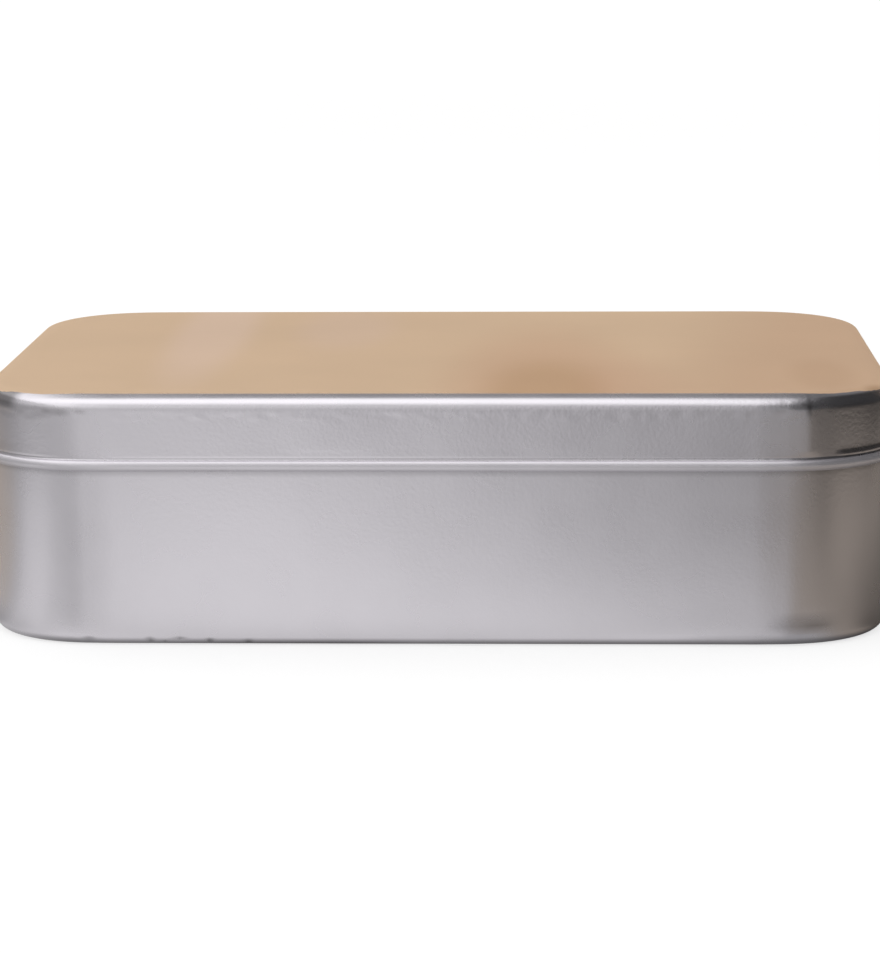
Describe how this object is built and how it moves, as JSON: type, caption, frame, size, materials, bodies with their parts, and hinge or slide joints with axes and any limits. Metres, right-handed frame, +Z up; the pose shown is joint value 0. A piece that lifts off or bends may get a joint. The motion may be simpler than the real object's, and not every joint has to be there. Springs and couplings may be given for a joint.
{
  "type": "soap tin",
  "caption": "Shut rectangular metal soap tin with round corners: a plain box and a pressed slip lid with a rolled bead and a tan top.",
  "frame": {"origin": "centre of the bottom face, on the surface the tin stands on", "axes": "+X along the long side, -Y out of the front, +Z up through the lid"},
  "size_m": [0.0994, 0.065, 0.0269],
  "materials": {
    "box_tinplate": "satin tinplate, plain",
    "lid_tinplate": "satin tinplate, with a tan satin coat on its flat top"
  },
  "bodies": {
    "root": {"base": "box_tinplate", "lid": "lid_tinplate"}
  },
  "joints": []
}
